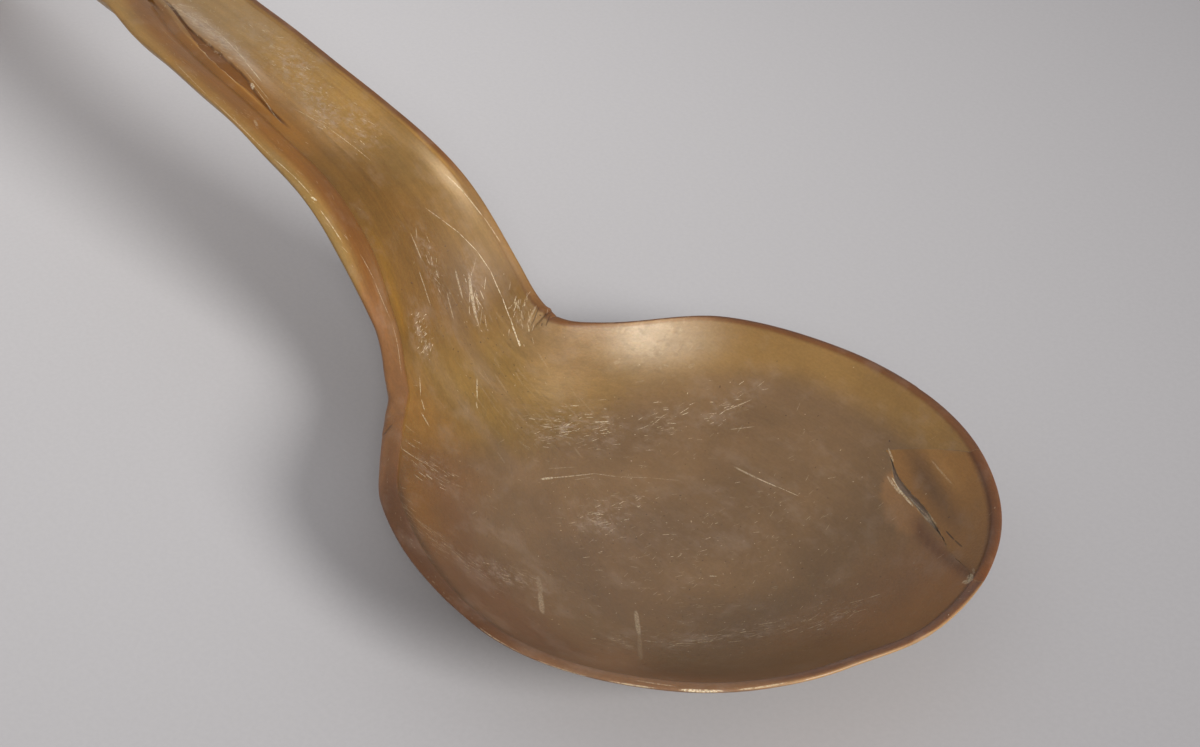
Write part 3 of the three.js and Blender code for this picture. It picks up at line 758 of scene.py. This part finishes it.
scratches = [  # start, end, width and strength, in grain millimetres
    (145, -2.8, 134, 0, 0.14, 0.6), (135, -0.4, 120.5, 1.7, 0.16, 0.85),
    (104.8, 5.8, 100.5, 7.9, 0.14, 0.6), (100.9, 7.7, 96.1, 10.0, 0.15, 0.75),
    (96.5, 9.8, 91.0, 11.6, 0.17, 0.85), (91.3, 11.5, 86.0, 12.3, 0.18, 0.9),
    (86.4, 12.3, 80.0, 12.0, 0.2, 0.9), (80.3, 12.05, 75.2, 11.0, 0.22, 0.95),
    (75.5, 11.1, 70.8, 9.5, 0.28, 1.0), (71.6, 9.9, 70.4, 9.4, 0.5, 1.0), (88, 8, 78, 4.8, 0.8, 0.45),
    (90, 5.6, 83, 4.2, 0.5, 0.3), (84, 6.8, 77, 4.6, 0.35, 0.4), (101, 0, 94, -0.6, 0.3, 0.4),
    (93, -2.2, 84, -3.4, 0.3, 0.35), (86, 1.6, 80, 0.2, 0.3, 0.3), (69.5, -2.4, 65.6, -5.8, 0.35, 0.55),
    (65.2, -6.4, 63.8, -7.4, 0.3, 0.6), (64.6, -20.6, 61.0, -21.4, 0.4, 0.65),
    (67.6, -18.2, 65.0, -19.4, 0.28, 0.55), (73, -14.4, 68.2, -17.9, 0.2, 0.6),
    (42.2, -8.4, 41.2, -5.4, 0.8, 0.6), (41.6, -6.4, 39.1, -1.2, 0.4, 0.5),
    (39.4, -1.8, 37.4, 2.4, 0.34, 0.45), (38.4, -2.6, 36.9, 1.2, 0.2, 0.35),
    (37.7, 2.0, 33.8, 5.7, 0.24, 0.45), (34.2, 5.3, 29.0, 11.3, 0.16, 0.35),
    (29.2, 11.0, 24.3, 15.4, 0.14, 0.3), (44.2, -5.2, 41.2, 0.6, 0.16, 0.35),
    (50, 10.6, 47.6, 13.6, 0.3, 0.85), (31.2, 31.6, 28.0, 37.2, 0.3, 0.55),
    (19.4, 24.9, 13, 26, 0.5, 0.4), (14, 25.8, 8.2, 27.0, 0.26, 0.8), (8.6, 27.0, 2.9, 28.2, 0.18, 0.6),
    (15.4, -27.8, 9, -31.8, 1.2, 0.16), (10.4, -31, 2.4, -36.4, 1.3, 0.3),
    (-1.0, -17.0, -9, -22.5, 1.1, 0.34), (-8, -21.8, -18.4, -29.8, 1.0, 0.15),
    (52.8, -35.2, 49.4, -30.6, 0.35, 0.55), (50.2, -31, 47.2, -28.6, 0.4, 0.3),
    (27, 30, 23, 34, 0.2, 0.4), (-8.2, 40.8, -14.6, 38.6, 0.55, 0.55),
    (-12, 39.8, -19.4, 37.3, 0.45, 0.9), (-20, 37.4, -25.4, 36.0, 0.5, 0.6),
    (-3.8, 45.2, -7.4, 43.4, 0.4, 0.5), (-9.5, 40.9, -13.5, 39.4, 0.3, 0.8),
    (-15.6, 39.4, -22.4, 37.3, 0.22, 0.6), (-22, 37.6, -27.6, 35.2, 0.35, 0.45),
    (-24, 36.0, -29.2, 34.4, 0.24, -0.6), (-14, 46.6, -23.5, 43.4, 0.4, 0.25),
    (-30.4, 34.6, -34.6, 32.8, 0.3, -0.9), (-34.4, 32.9, -37.9, 31.4, 0.35, -0.7),
    (-46.2, 24.7, -48.6, 22.0, 1.4, 0.75), (-46.4, 22.7, -48.6, 22.0, 1.3, 0.7),
    (-45.4, 26.2, -47.2, 24.6, 0.5, 0.35), (204, 0.4, 192, 1.0, 0.4, 0.5), (196, 2.4, 182, 1.2, 0.3, 0.5),
    (183, 1.2, 168, -1.2, 0.24, 0.75), (168.6, -1.2, 158, -2.9, 0.28, 0.85),
    (159.4, -5.0, 157.0, -5.6, 0.9, 0.9), (158, -5.2, 141, -8.2, 0.22, 0.45),
    (182, -5.9, 160, -7.7, 0.3, 0.5), (166, -3.2, 150, -5.6, 0.25, 0.4),
    (110, 13.6, 104, 15.0, 0.35, 0.8), (104.6, 14.9, 97, 16.0, 0.25, 0.75),
    (97.4, 16.0, 90.5, 16.6, 0.22, 0.5), (71.9, 12.9, 74.2, 17, 0.25, -0.6),
    (69.6, 15.6, 70.8, 17.6, 0.35, -0.6), (72.8, 12.8, 74.8, 16.6, 0.5, 0.35),
]
wallPlace = 200  # added to the places out from the rim, on the near rim and wall
wallScratches = [
    (175, 6.6, 156, 7.5, 0.2, 0.4), (156, 7.5, 129, 7.6, 0.22, 0.6), (130, 7.6, 115.5, 6.9, 0.24, 0.7),
    (115.8, 7.2, 114.2, 6.6, 0.6, 1.0), (112.5, 7.2, 103.2, 6.5, 0.24, 0.8),
    (100, 3.9, 93.4, 2.7, 0.2, 0.4), (93.4, 2.8, 84, 1.7, 0.2, 0.45), (84, 1.7, 72, 1.3, 0.2, 0.4),
    (-38.4, 2.5, -43.6, 2.6, 0.7, 0.85), (-29, 2.8, -36, 2.7, 0.4, 0.5), (-17, 2.8, -27, 2.9, 0.3, 0.45),
    (-44.6, 2.5, -49, 2.3, 0.4, 0.5), (-4, 2.6, -15, 2.8, 0.25, 0.35), (-32, 1.6, -38, 1.9, 0.3, 0.35),
    (197, 2.2, 176, 1.5, 0.2, 0.3), (144, 3.4, 141, 4.4, 0.9, 0.3), (59.4, 2.4, 57.0, 4.8, 0.9, -0.5),
]

scatter = [  # s, v, half length, half width, turn, count, length, width, heading, spread, strength
    (0, 0, 50, 42, 0, 300, (0.15, 0.45), (0.12, 0.24), 108, 60, (0.3, 0.9)),
    (0, 0, 50, 42, 0, 420, (0.5, 2.0), (0.06, 0.16), 108, 45, (0.15, 0.45)),
    (0, 0, 50, 42, 0, 200, (0.25, 0.6), (0.2, 0.4), 0, 90, (-0.7, -0.2)),
    # light and dark strokes that mottle the painted highlight near the far notch
    (54, 31, 9, 5, -45, 90, (0.6, 2.4), (0.4, 1.0), 118, 40, (0.05, 0.18)),
    (52, 31, 10, 6, -45, 50, (0.6, 2.4), (0.4, 1.0), 118, 40, (-0.1, -0.03)),
    (190, 0.2, 24, 1.8, 5, 70, (0.8, 3.0), (0.3, 0.7), 176, 10, (0.1, 0.35)),
    (190, 0.2, 24, 1.8, 5, 50, (0.8, 2.6), (0.2, 0.5), 176, 10, (-0.3, -0.08)),
    (160, 7, 20, 4.5, 6, 60, (0.6, 2.2), (0.3, 0.8), 165, 24, (0.06, 0.22)),
    (62, 0, 16, 12, 0, 60, (1.5, 6), (0.2, 0.6), 4, 8, (0.03, 0.12)),
    (62, 0, 16, 12, 0, 50, (1.5, 6), (0.2, 0.6), 4, 8, (-0.16, -0.05)),
    (70, 4, 26, 12, 0, 50, (0.2, 0.6), (0.12, 0.24), 20, 40, (0.2, 0.6)),
    (70, 4, 26, 12, 0, 60, (0.25, 0.6), (0.2, 0.4), 0, 90, (-0.7, -0.2)),
    (190, 3, 60, 8, 0, 160, (0.3, 1.6), (0.1, 0.3), 0, 40, (0.2, 0.5)),
    (150, wallPlace + 6, 60, 4, 0, 110, (0.3, 2.4), (0.1, 0.22), 0, 20, (0.1, 0.35)),
    (20, wallPlace + 2, 50, 1.2, 0, 50, (0.3, 1.2), (0.1, 0.2), 0, 20, (0.08, 0.25)),
    (26, -44, 13, 3.4, -18, 90, (0.8, 3.0), (0.1, 0.2), 152, 14, (0.15, 0.42)),
]
wornStrokes = {"width": (0.07, 0.22), "spread": 26, "strength": (0.25, 0.85), "shortest": 0.4}
strokeLayers = 4  # strokes kept for a face
strokeReach = 2.5  # how far from a stroke faces are looked at


def scatterStrokes(seed):
    chance = np.random.default_rng(seed)
    onWall = [(s0, wallPlace + w0, s1, wallPlace + w1, *rest) for s0, w0, s1, w1, *rest in wallScratches]
    rows = scratches + onWall
    worn = wornStrokes
    patches = [(*patch[:5], patch[6], (worn["shortest"], patch[7]), worn["width"], patch[8],
                worn["spread"], worn["strength"]) for patch in wornPatches]
    for s0, v0, halfS, halfV, turn, count, length, width, heading, spread, strength in patches + scatter:
        angle = math.radians(turn)
        turned = [(math.cos(angle), math.sin(angle)), (-math.sin(angle), math.cos(angle))]
        middle = (s0, v0) + chance.normal(0, 0.5, (count, 2)) * (halfS, halfV) @ turned
        way = np.radians(heading + spread * chance.uniform(-1, 1, count))
        long = chance.uniform(*length, count)[:, None] / 2
        step = np.stack([np.cos(way), np.sin(way)], 1) * long
        wide = chance.uniform(*width, count)
        strong = chance.uniform(*strength, count)
        rows += np.column_stack([middle - step, middle + step, wide, strong]).tolist()
    return np.array(rows)


def strokePlaces(grain):  # the near rim and wall have places of their own
    s, v, w = grain.T
    onWall = (w > 0.2) & (v < 0)
    return s, np.where(onWall, wallPlace + w, np.where(w < 2, v, -wallPlace))


def fromStroke(s, v, stroke):  # along and across from its middle, then half its length and width
    s0, v0, s1, v1, width, _ = np.moveaxis(stroke, -1, 0)
    length = np.hypot(s1 - s0, v1 - v0)
    ds, dv = s - (s0 + s1) / 2, v - (v0 + v1) / 2
    along = (ds * (s1 - s0) + dv * (v1 - v0)) / length
    across = (dv * (s1 - s0) - ds * (v1 - v0)) / length
    return along, across, length / 2, width / 2


def keepStrokes(mesh, strokes):  # the strongest on each face
    s, v = strokePlaces(cornerValues(mesh, "grain"))
    starts, counts = readAll(mesh.polygons, "loop_start"), readAll(mesh.polygons, "loop_total")
    owner = np.repeat(np.arange(len(starts)), counts)
    middleS, middleV = np.add.reduceat(s, starts) / counts, np.add.reduceat(v, starts) / counts
    size = np.maximum.reduceat(np.hypot(s - middleS[owner], v - middleV[owner]), starts)
    order = np.argsort(middleS)
    places = (strokes[:, 0] + strokes[:, 2]) / 2
    reach = np.hypot(strokes[:, 2] - strokes[:, 0], strokes[:, 3] - strokes[:, 1]) / 2 + strokeReach
    lows, highs = np.searchsorted(middleS[order], [places - reach, places + reach])
    found = []
    for number, stroke in enumerate(strokes):
        near = order[lows[number]:highs[number]]
        along, across, half, halfWidth = fromStroke(middleS[near], middleV[near], stroke)
        along, across = np.abs(along) / (half + size[near]), np.abs(across) / (halfWidth + size[near])
        hit = (along < 1) & (across < 1)
        score = (1 - along[hit] ** 2) * (1 - across[hit] ** 2) * abs(stroke[5])
        found.append(np.column_stack([near[hit], np.full(hit.sum(), number), score]))
    found = np.concatenate(found)
    found = found[np.lexsort((-found[:, 2], found[:, 0]))]
    faces = found[:, 0].astype(int)
    first = np.concatenate([[True], faces[1:] != faces[:-1]])
    rank = np.arange(len(faces)) - np.maximum.accumulate(np.where(first, np.arange(len(faces)), 0))
    for layer in range(strokeLayers):
        chosen = np.full(len(starts), -1)
        chosen[faces[rank == layer]] = found[rank == layer, 1].astype(int)
        pick = chosen[owner]
        stroke = strokes[np.maximum(pick, 0)]
        along, across, half, halfWidth = fromStroke(s, v, stroke)
        local = np.stack([along / half, across / halfWidth, stroke[:, 5]], 1)
        local[pick < 0] = (3, 3, 0)
        addCornerVector(mesh, "stroke" + str(layer), local)
    print("strokes", len(strokes), "faces crossed by more than are kept", int((rank == strokeLayers).sum()))


hornStrokes = scatterStrokes(4)
for piece in (hornSpoon, splitPiece):
    keepStrokes(piece.data, hornStrokes)


# Materials

def newMaterial(name):
    material = bpy.data.materials.new(name)
    material.use_nodes = True
    return material, material.node_tree, material.node_tree.nodes["Principled BSDF"]


def addNode(tree, kind, inputs=None, **settings):
    node = tree.nodes.new("ShaderNode" + kind)
    for name, value in settings.items():
        setattr(node, name, value)
    for name, value in (inputs or {}).items():
        if isinstance(value, bpy.types.NodeSocket):
            tree.links.new(value, node.inputs[name])
        else:
            node.inputs[name].default_value = value
    return node


def doMath(tree, operation, *values):
    return addNode(tree, "Math", dict(enumerate(values)), operation=operation).outputs[0]


def mapRange(tree, value, low, high, start=0.0, end=1.0, kind="SMOOTHSTEP"):
    inputs = {"Value": value, "From Min": low, "From Max": high, "To Min": start, "To Max": end}
    return addNode(tree, "MapRange", inputs, interpolation_type=kind).outputs["Result"]


def multiply(tree, value, *others):
    for other in others:
        value = doMath(tree, "MULTIPLY", value, other)
    return value


def mixColour(tree, share, under, over):
    node = addNode(tree, "Mix", data_type="RGBA")
    for socket, value in ((0, share), (6, under), (7, over)):
        if isinstance(value, bpy.types.NodeSocket):
            tree.links.new(value, node.inputs[socket])
        else:
            node.inputs[socket].default_value = value if socket == 0 else (*value, 1)
    return node.outputs[2]


def noiseAt(tree, place, scale, stretch, detail, roughness, shift):
    moved = addNode(tree, "Mapping",
                    {"Vector": place, "Location": (shift, shift * 1.7, shift * 0.6), "Scale": stretch})
    inputs = {"Vector": moved.outputs[0], "Scale": scale, "Detail": detail, "Roughness": roughness}
    return addNode(tree, "TexNoise", inputs).outputs["Fac"]


def strokeMasks(tree):  # light scratches, and dark pits and cracks
    light = dark = 0.0
    for layer in range(strokeLayers):
        stroke = addNode(tree, "Attribute", attribute_name="stroke" + str(layer)).outputs["Vector"]
        along, across, strength = addNode(tree, "SeparateXYZ", {"Vector": stroke}).outputs
        away = doMath(tree, "MULTIPLY_ADD", across, across, multiply(tree, *[along] * 4))
        mask = multiply(tree, mapRange(tree, away, *hornFinish["strokeEdge"]), strength)
        light = doMath(tree, "MAXIMUM", light, mask)
        dark = doMath(tree, "MINIMUM", dark, mask)
    return light, multiply(tree, dark, -1.0)


hornFinish = {
    "fibreStart": (36, 66, 0.12, 1), "grainAmount": 0.09, "haze": 0.55, "strokeEdge": (0.2, 1, 1, 0),
    "roughness": (0.3, 0.7, 0.33, 0.47), "wornRoughness": 0.25, "bump": 0.16, "bumpDepth": 0.0006,
    "fineRelief": 0.5, "gritRelief": 0.25, "scratchRelief": 0.4,
}
hornNoises = {  # scale, stretch, detail, roughness and shift, in grain millimetres
    "streaks": (1.0, (0.022, 0.42, 0.42), 5, 0.6, 3), "fine": (1.0, (0.05, 1.9, 1.9), 3, 0.6, 11),
    "clouds": (0.055, (1, 1, 1), 4, 0.6, 23), "grit": (1.6, (1, 1, 1), 3, 0.6, 5),
    "patchy": (0.45, (1, 1, 1), 5, 0.75, 31), "dusty": (0.13, (1, 1, 1), 5, 0.6, 41),
    "ragged": (2.2, (1, 1, 1), 3, 0.7, 17),
}
hornRanges = {  # the part of a noise that is used, and what it is spread over
    "streaks": (0.3, 0.7, -1, 1), "fine": (0.25, 0.75, 0.96, 1.04), "clouds": (0.3, 0.7, 0.9, 1.1),
    "grit": (0.25, 0.75, 0.93, 1.07), "patchy": (0.44, 0.66, 0, 1), "dusty": (0.5, 0.72, 0, 0.11),
    "ragged": (0.38, 0.58, 0.2, 1),
}
hornShader = {
    "Specular IOR Level": 0.42, "Coat Weight": 0.12, "Coat Roughness": 0.3, "Subsurface Weight": 0.25,
    "Subsurface Radius": (0.004, 0.002, 0.0008), "Subsurface Scale": 1.0,
}


def scaleColour(tree, colour, level):
    return addNode(tree, "VectorMath", {0: colour, "Scale": level}, operation="SCALE").outputs[0]


def hornMaterial(name):
    finish = hornFinish
    material, tree, shader = newMaterial(name)
    grain, paint, state = (addNode(tree, "Attribute", attribute_name=key).outputs[output]
                           for key, output in (("grain", "Vector"), ("paint", "Color"), ("state", "Vector")))
    broken, rough, _ = addNode(tree, "SeparateXYZ", {"Vector": state}).outputs
    along = addNode(tree, "SeparateXYZ", {"Vector": grain}).outputs[0]
    noises = {key: noiseAt(tree, grain, *settings) for key, settings in hornNoises.items()}
    ranges = {key: mapRange(tree, noises[key], *limits) for key, limits in hornRanges.items()}

    streaks = multiply(tree, ranges["streaks"], mapRange(tree, along, *finish["fibreStart"]))
    streaks = doMath(tree, "MULTIPLY_ADD", streaks, finish["grainAmount"], 1.0)
    level = multiply(tree, streaks, ranges["clouds"], ranges["fine"], ranges["grit"])
    colour = scaleColour(tree, paint, level)
    haze = multiply(tree, rough, ranges["patchy"], finish["haze"])
    light, dark = strokeMasks(tree)
    light = multiply(tree, light, ranges["ragged"])
    for share, cover in ((haze, "haze"), (ranges["dusty"], "haze"), (light, "scratch"), (dark, "pit")):
        colour = mixColour(tree, share, colour, tones[cover])
    tree.links.new(colour, shader.inputs["Base Color"])

    roughness = mapRange(tree, noises["clouds"], *finish["roughness"])
    worn = doMath(tree, "MAXIMUM", doMath(tree, "MAXIMUM", light, broken), haze)
    roughness = doMath(tree, "MULTIPLY_ADD", worn, finish["wornRoughness"], roughness)
    tree.links.new(roughness, shader.inputs["Roughness"])
    for socket, value in hornShader.items():
        shader.inputs[socket].default_value = value
    grit = multiply(tree, noises["grit"], finish["gritRelief"])
    relief = doMath(tree, "MULTIPLY_ADD", noises["fine"], finish["fineRelief"], grit)
    cuts = doMath(tree, "MULTIPLY_ADD", light, finish["scratchRelief"], dark)
    relief = doMath(tree, "SUBTRACT", relief, cuts)
    bump = addNode(tree, "Bump",
                   {"Strength": finish["bump"], "Distance": finish["bumpDepth"], "Height": relief})
    tree.links.new(bump.outputs[0], shader.inputs["Normal"])
    return material


def dressPiece(piece, slotName, cadNode):
    piece.data.materials.clear()
    piece.data.materials.append(hornMaterial(slotName))
    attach(piece, "root")
    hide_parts(cadNode)


dressPiece(hornSpoon, "horn", "spoon_body")
dressPiece(splitPiece, "split_horn", "lip_layer")
print("materials ready")


# The floor, the lights and the camera

studio = {
    "floorSize": 6.0, "paintedLightCentre": (-0.129, 0.028, 0), "paintedLightReach": 0.42, "paintedLightStretch": (1, 1.25, 1),
    "speckle": (900, (1, 1, 1), 3, 0.6, 2), "speckleRange": (0.3, 0.7, 0.985, 1.015),
    "worldTone": (1.0, 0.965, 0.97, 1), "worldLevel": 0.42, "lampAim": (-0.05, 0, 0.02),
}
lamps = [  # name, azimuth, elevation, distance, size, power, tone
    ("key_lamp", 1, 27, 2.0, 0.65, 41, (1, 0.97, 0.94)),
    ("front_lamp", 325, 34, 2.0, 0.5, 11, (1, 0.97, 0.94)),
]
lens = {"length": 72, "sensor": 36, "azimuth": 51.87, "elevation": 34.96, "distance": 0.52635,
        "target": (-69.4, 29.7, 0)}


def directionTo(azimuth, elevation):
    turn, up = math.radians(azimuth), math.radians(elevation)
    return Vector((math.cos(turn) * math.cos(up), math.sin(turn) * math.cos(up), math.sin(up)))


def placeObject(name, data, target, direction, distance):
    holder = addObject(name, data)
    holder.location = target + direction * distance
    holder.rotation_euler = direction.to_track_quat("Z", "Y").to_euler()
    return holder


def makeFloor():
    half = studio["floorSize"] / 2
    mesh = bpy.data.meshes.new("studio_floor")
    corners = [(-half, -half, 0), (half, -half, 0), (half, half, 0), (-half, half, 0)]
    mesh.from_pydata(corners, [], [(0, 1, 2, 3)])
    material, tree, shader = newMaterial("floor_paper")
    place = addNode(tree, "TexCoord").outputs["Object"]
    # the paper's tone is a painted pool of light: palest round a spot beside the spoon, fading to mid grey
    # further out
    turned = addNode(tree, "Mapping", {
        "Vector": place, "Location": studio["paintedLightCentre"],
        "Rotation": (0, 0, math.radians(lens["azimuth"])), "Scale": studio["paintedLightStretch"],
    }, vector_type="TEXTURE")
    run = addNode(tree, "VectorMath", {0: turned.outputs[0]}, operation="LENGTH").outputs["Value"]
    paintedFalloff = mapRange(tree, run, 0, studio["paintedLightReach"], kind="LINEAR")
    speckle = mapRange(tree, noiseAt(tree, place, *studio["speckle"]), *studio["speckleRange"])
    paper = mixColour(tree, paintedFalloff, tones["floorInPaintedLight"], tones["floorPastPaintedLight"])
    tree.links.new(scaleColour(tree, paper, speckle), shader.inputs["Base Color"])
    shader.inputs["Roughness"].default_value = 0.9
    shader.inputs["Specular IOR Level"].default_value = 0.1
    mesh.materials.append(material)
    addObject("studio_floor", mesh)


def makeWorld():
    world = bpy.data.worlds.new("studio")
    bpy.context.scene.world = world
    world.use_nodes = True
    background = world.node_tree.nodes["Background"]
    background.inputs["Color"].default_value = studio["worldTone"]
    background.inputs["Strength"].default_value = studio["worldLevel"]


def makeLamp(name, azimuth, elevation, distance, size, power, colour):
    lamp = bpy.data.lights.new(name, "AREA")
    lamp.shape = "DISK"
    lamp.size = size
    lamp.energy = power
    lamp.color = colour
    target = Vector((hornOffset[0] * mm, 0, 0)) + Vector(studio["lampAim"])
    placeObject(name, lamp, target, directionTo(azimuth, elevation), distance)


def makeCamera():
    data = bpy.data.cameras.new("camera")
    data.lens = lens["length"]
    data.sensor_width = lens["sensor"]
    data.clip_start = 0.01
    target = (Vector(lens["target"]) + Vector(hornOffset)) * mm
    back = directionTo(lens["azimuth"] - 90, lens["elevation"])
    bpy.context.scene.camera = placeObject("camera", data, target, back, lens["distance"])


makeFloor()
makeWorld()
for lamp in lamps:
    makeLamp(*lamp)
makeCamera()
bpy.context.scene.view_settings.view_transform = "Standard"
print("studio ready")
